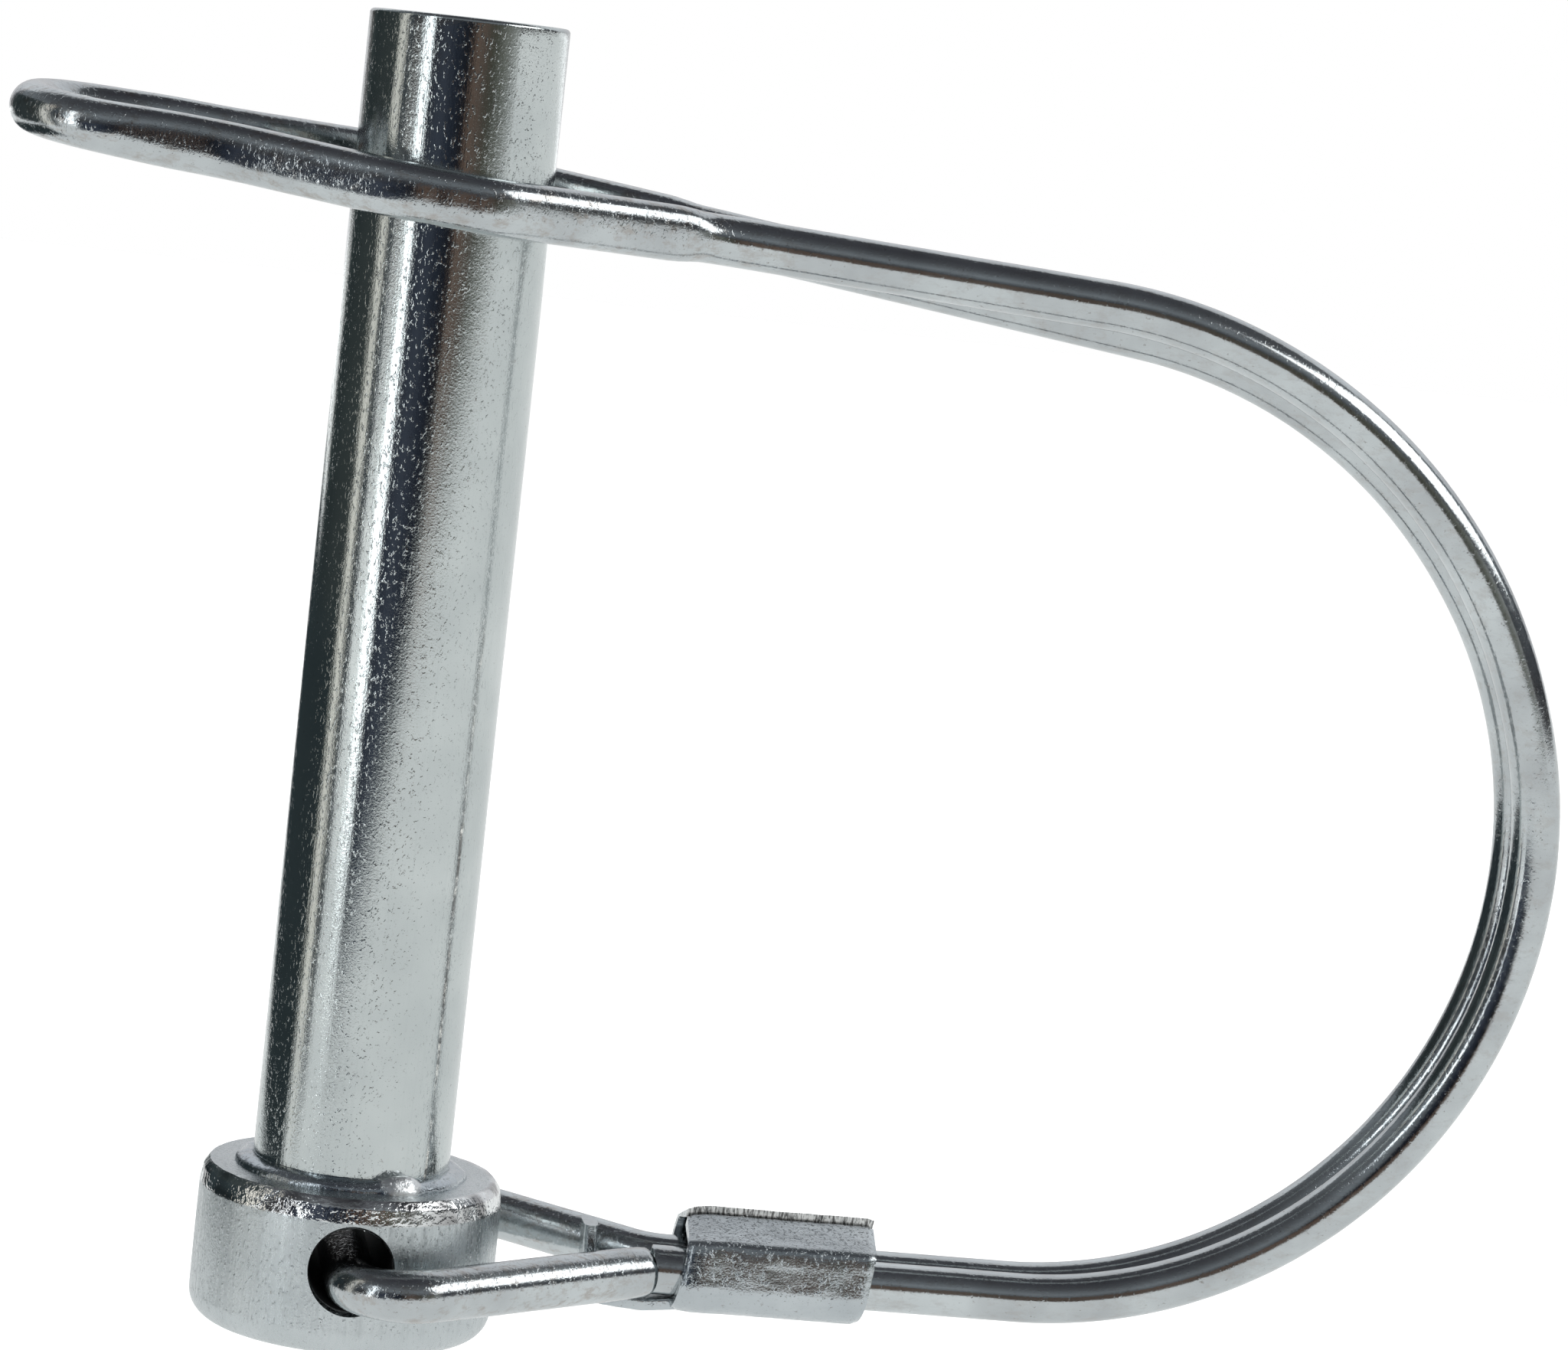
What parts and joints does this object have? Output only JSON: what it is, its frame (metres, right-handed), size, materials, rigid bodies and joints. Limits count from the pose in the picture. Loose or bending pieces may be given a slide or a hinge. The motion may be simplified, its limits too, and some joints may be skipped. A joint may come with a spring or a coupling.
{
  "type": "hitch pin with wire lock",
  "caption": "Round hitch pin with a drum-shaped head and a D-shaped spring wire bail that pivots in the head's cross hole and snaps over the pin's free tip.",
  "frame": {"origin": "on the pin's axis at the head's upper face, which the pinned part bears on", "axes": "+Z along the shank to its free tip, +X from the pin to the D-shaped bail, +Y along the head's cross hole"},
  "size_m": [0.0785, 0.0208, 0.0631],
  "materials": {
    "zinc_pin": "bright zinc plating with worn brown-grey specks",
    "zinc_head": "bright zinc plating, hammered rim",
    "weld": "plated weld, dark blue-grey",
    "zinc_wire": "zinc-plated spring wire, lightly speckled",
    "zinc_clip": "zinc-plated pressed sheet with sheared edges"
  },
  "bodies": {
    "pin": {"pin_shank": "zinc_pin", "head_collar": "zinc_head", "weld_bead": "weld"},
    "bail": {"wire_pivot_arm": "zinc_wire", "wire_lower_bow_front": "zinc_wire", "wire_lower_bow_back": "zinc_wire", "crimp_clip": "zinc_clip"},
    "loop": {"wire_upper_bow_front": "zinc_wire", "wire_upper_bow_back": "zinc_wire", "wire_snap_loop": "zinc_wire"}
  },
  "joints": [
    {"name": "bail_swing", "type": "hinge", "parent": "pin", "child": "bail", "pos_m": [0, 0, -0.004], "axis": [0, 1, 0], "range_deg": [0, 180], "deforming": ["wire_snap_loop"]},
    {"name": "loop_flex", "type": "hinge", "parent": "bail", "child": "loop", "pos_m": [0.05149, 0, 0.0375], "axis": [0, 1, 0], "range_deg": [0, 12], "stiffness_Nm_per_rad": 3}
  ]
}
